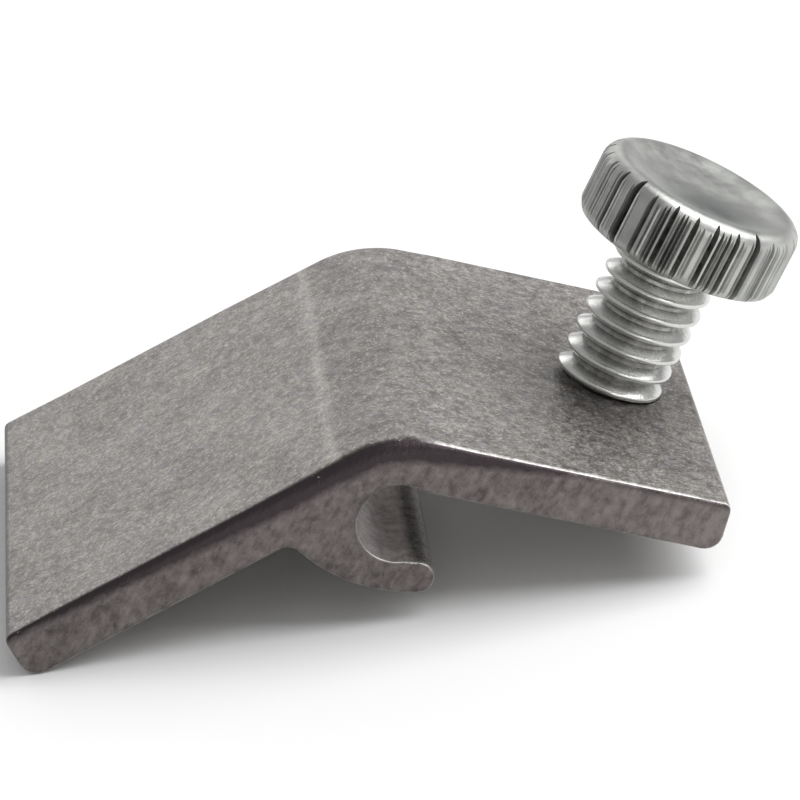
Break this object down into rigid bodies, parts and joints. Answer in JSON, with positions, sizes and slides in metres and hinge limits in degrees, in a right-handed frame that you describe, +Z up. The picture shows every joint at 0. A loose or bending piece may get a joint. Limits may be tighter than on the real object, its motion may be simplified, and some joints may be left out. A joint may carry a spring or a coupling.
{
  "type": "mast slot hook clamp",
  "caption": "Bent aluminium plate with a hook under its bend and a knurled thumb screw through one arm; it clamps to the slot of a mast.",
  "frame": {"origin": "centre of the hook's round groove, at mid width of the plate", "axes": "+X along the object from the plain arm towards the screw's arm; +Y along the groove; +Z up, towards the bend's outer face"},
  "size_m": [0.0475, 0.0286, 0.0205],
  "materials": {
    "plate_aluminium": "tumbled matte mill finish, with fine grey mottling and worn edges",
    "plated_steel": "bright zinc plate, soft gloss"
  },
  "bodies": {
    "plate": {"clamp_plate": "plate_aluminium"},
    "point": {"screw_point": "plated_steel"},
    "screw": {"thumb_screw": "plated_steel"}
  },
  "joints": [
    {"name": "screw_travel", "type": "slide", "parent": "plate", "child": "point", "axis": [0.5225, 0, 0.8526], "range_m": [-0.00763, 0.00128]},
    {"name": "screw_turn", "type": "hinge", "parent": "point", "child": "screw", "pos_m": [0.01331, 0, 0.00027], "axis": [0.5225, 0, 0.8526], "range_deg": [-2160, 360]}
  ],
  "couplings": [
    {"joint": "screw_travel", "follows": "screw_turn", "m_per_rad": 0.00020213}
  ]
}
